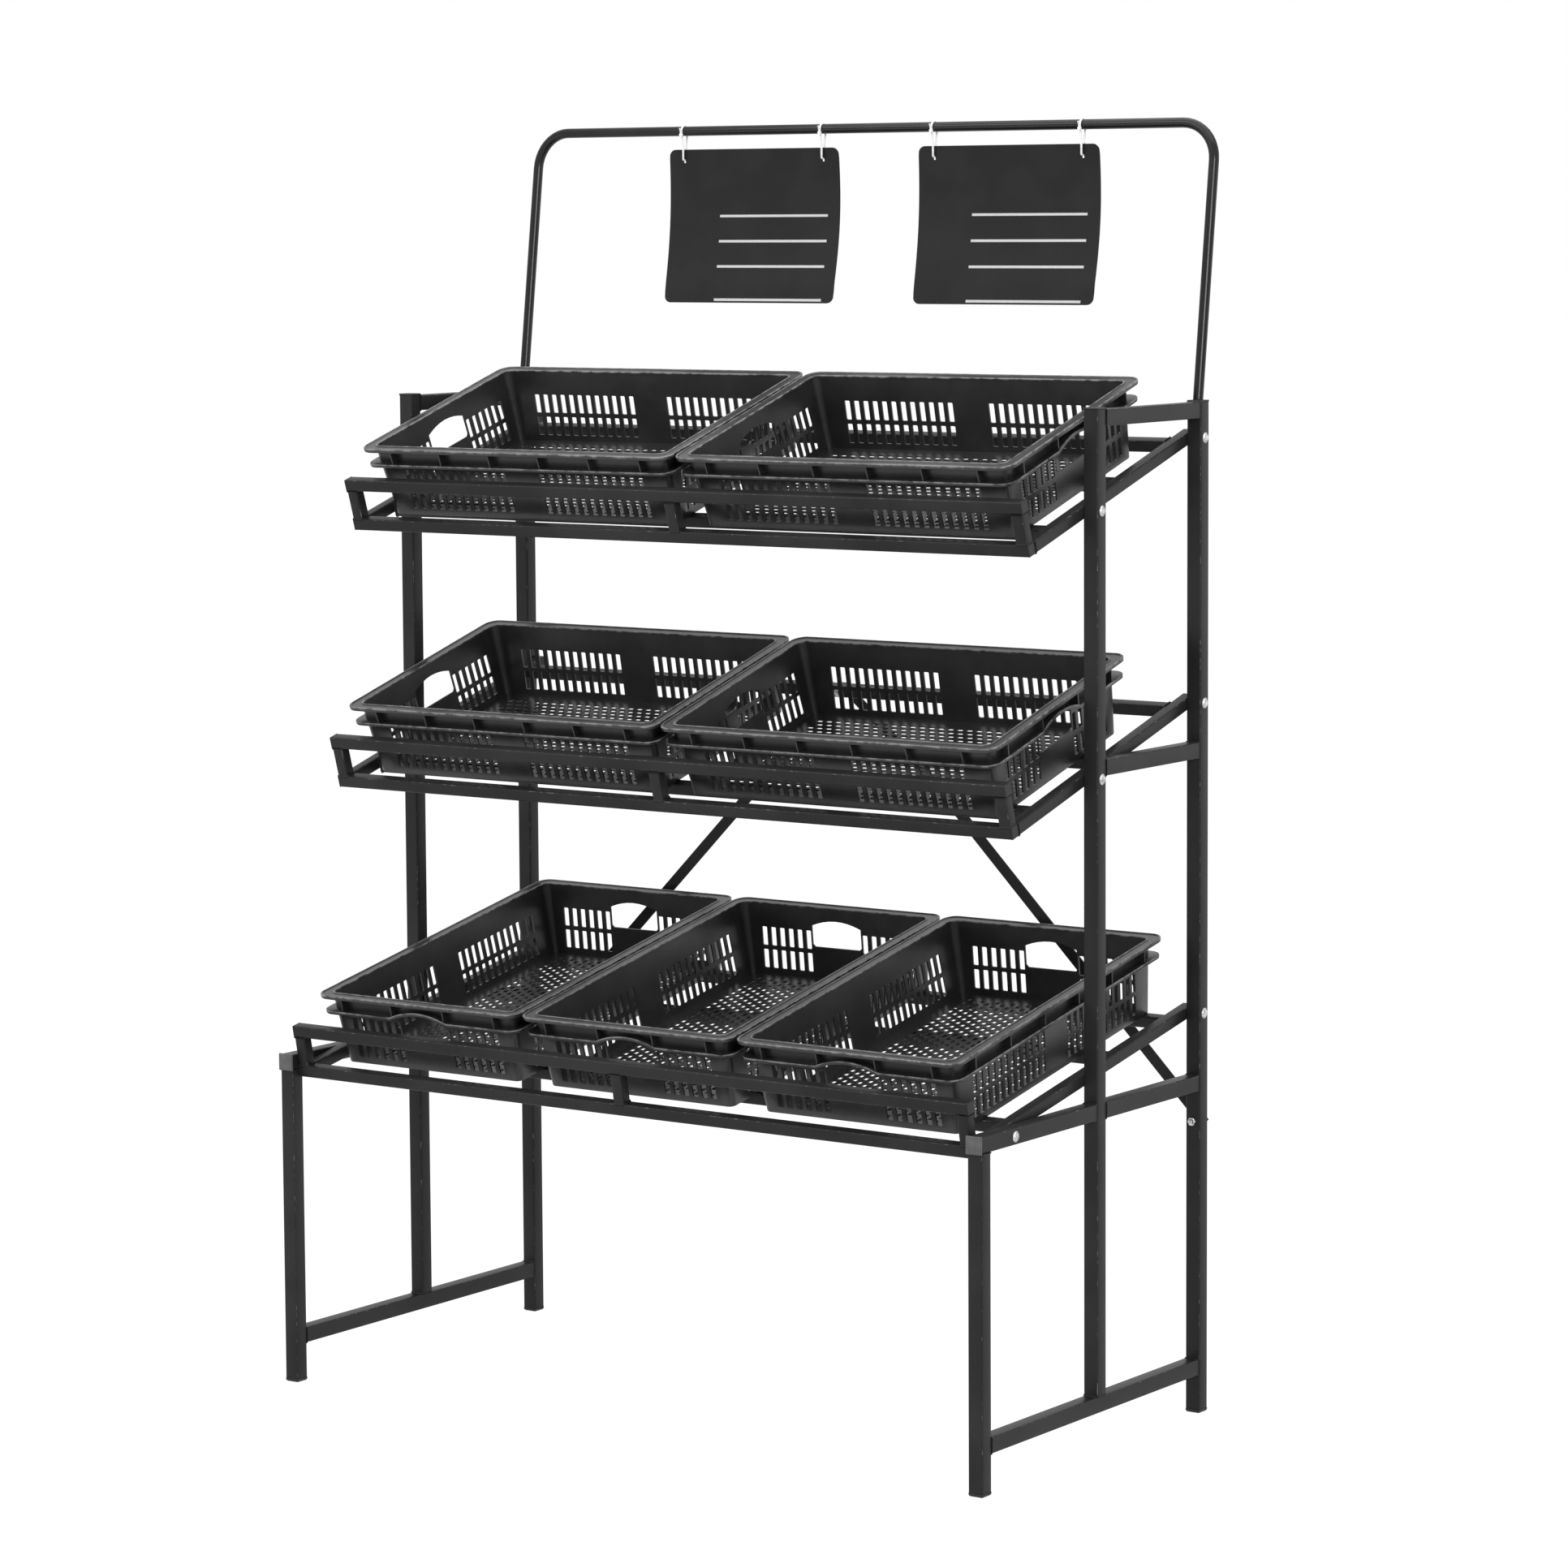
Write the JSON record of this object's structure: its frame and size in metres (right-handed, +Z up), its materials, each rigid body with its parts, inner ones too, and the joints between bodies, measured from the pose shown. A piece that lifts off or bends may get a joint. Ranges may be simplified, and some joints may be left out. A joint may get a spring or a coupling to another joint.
{
  "type": "tiered produce rack",
  "caption": "Tiered steel market rack: sloping lipped shelves carry lift-out vented crates, with hanging price boards on a bent sign frame above.",
  "frame": {"origin": "on the floor under the centre of the whole rack's bounding box", "axes": "+X along the shelves, to the right for someone facing the rack; +Y from front to rear; +Z up"},
  "size_m": [1.333, 0.7054, 2.0045],
  "materials": {
    "frame_paint": "satin black powder coat",
    "crate_plastic": "moulded black, slight sheen",
    "trim_plastic": "moulded, matt",
    "zinc_steel": "bright zinc plate",
    "board_plastic": "matt writing surface with pale ruled lines",
    "tie_nylon": "natural white nylon"
  },
  "bodies": {
    "rack_frame": {"brace_bolts": "zinc_steel", "brace_nuts": "zinc_steel", "left_base_rail": "frame_paint", "left_brace": "frame_paint", "left_front_leg": "frame_paint", "left_mid_post": "frame_paint", "left_rear_post": "frame_paint", "left_table_rail_front": "frame_paint", "left_table_rail_rear": "frame_paint", "left_top_rail": "frame_paint", "left_upper_rail": "frame_paint", "leg_feet": "trim_plastic", "lower_shelf_back_rail": "frame_paint", "lower_shelf_front_rail": "frame_paint", "lower_shelf_lip_bar": "frame_paint", "lower_shelf_lip_posts": "frame_paint", "lower_shelf_side_rails": "frame_paint", "lower_shelf_support_rails": "frame_paint", "mid_post_caps": "trim_plastic", "middle_shelf_back_rail": "frame_paint", "middle_shelf_front_rail": "frame_paint", "middle_shelf_lip_bar": "frame_paint", "middle_shelf_lip_posts": "frame_paint", "middle_shelf_side_rails": "frame_paint", "middle_shelf_support_rails": "frame_paint", "right_base_rail": "frame_paint", "right_brace": "frame_paint", "right_front_leg": "frame_paint", "right_mid_post": "frame_paint", "right_rear_post": "frame_paint", "right_table_rail_front": "frame_paint", "right_table_rail_rear": "frame_paint", "right_top_rail": "frame_paint", "right_upper_rail": "frame_paint", "shelf_bolts": "zinc_steel", "shelf_rail_plugs": "trim_plastic", "sign_bushes": "trim_plastic", "sign_frame": "frame_paint", "table_rail_plugs": "trim_plastic", "top_shelf_back_rail": "frame_paint", "top_shelf_front_rail": "frame_paint", "top_shelf_lip_bar": "frame_paint", "top_shelf_lip_posts": "frame_paint", "top_shelf_side_rails": "frame_paint", "top_shelf_support_rails": "frame_paint"},
    "top_shelf_left_crate": {"top_shelf_left_crate": "crate_plastic"},
    "top_shelf_right_crate": {"top_shelf_right_crate": "crate_plastic"},
    "middle_shelf_left_crate": {"middle_shelf_left_crate": "crate_plastic"},
    "middle_shelf_right_crate": {"middle_shelf_right_crate": "crate_plastic"},
    "lower_shelf_left_crate": {"lower_shelf_left_crate": "crate_plastic"},
    "lower_shelf_centre_crate": {"lower_shelf_centre_crate": "crate_plastic"},
    "lower_shelf_right_crate": {"lower_shelf_right_crate": "crate_plastic"},
    "left_board": {"left_price_board": "board_plastic", "left_board_ties": "tie_nylon"},
    "right_board": {"right_price_board": "board_plastic", "right_board_ties": "tie_nylon"}
  },
  "joints": [
    {"name": "top_shelf_left_crate_lift", "type": "slide", "parent": "rack_frame", "child": "top_shelf_left_crate", "axis": [0, -0.3007, 0.9537], "range_m": [0, 0.12]},
    {"name": "top_shelf_right_crate_lift", "type": "slide", "parent": "rack_frame", "child": "top_shelf_right_crate", "axis": [0, -0.3007, 0.9537], "range_m": [0, 0.12]},
    {"name": "middle_shelf_left_crate_lift", "type": "slide", "parent": "rack_frame", "child": "middle_shelf_left_crate", "axis": [0, -0.2807, 0.9598], "range_m": [0, 0.12]},
    {"name": "middle_shelf_right_crate_lift", "type": "slide", "parent": "rack_frame", "child": "middle_shelf_right_crate", "axis": [0, -0.2807, 0.9598], "range_m": [0, 0.12]},
    {"name": "lower_shelf_left_crate_lift", "type": "slide", "parent": "rack_frame", "child": "lower_shelf_left_crate", "axis": [0, -0.1942, 0.981], "range_m": [0, 0.12]},
    {"name": "lower_shelf_centre_crate_lift", "type": "slide", "parent": "rack_frame", "child": "lower_shelf_centre_crate", "axis": [0, -0.1942, 0.981], "range_m": [0, 0.12]},
    {"name": "lower_shelf_right_crate_lift", "type": "slide", "parent": "rack_frame", "child": "lower_shelf_right_crate", "axis": [0, -0.1942, 0.981], "range_m": [0, 0.12]},
    {"name": "left_board_swing", "type": "hinge", "parent": "rack_frame", "child": "left_board", "pos_m": [-0.215, 0.34322, 1.995], "axis": [1, 0, 0], "range_deg": [-60, 60]},
    {"name": "right_board_swing", "type": "hinge", "parent": "rack_frame", "child": "right_board", "pos_m": [0.274, 0.34322, 1.995], "axis": [1, 0, 0], "range_deg": [-60, 60]}
  ]
}
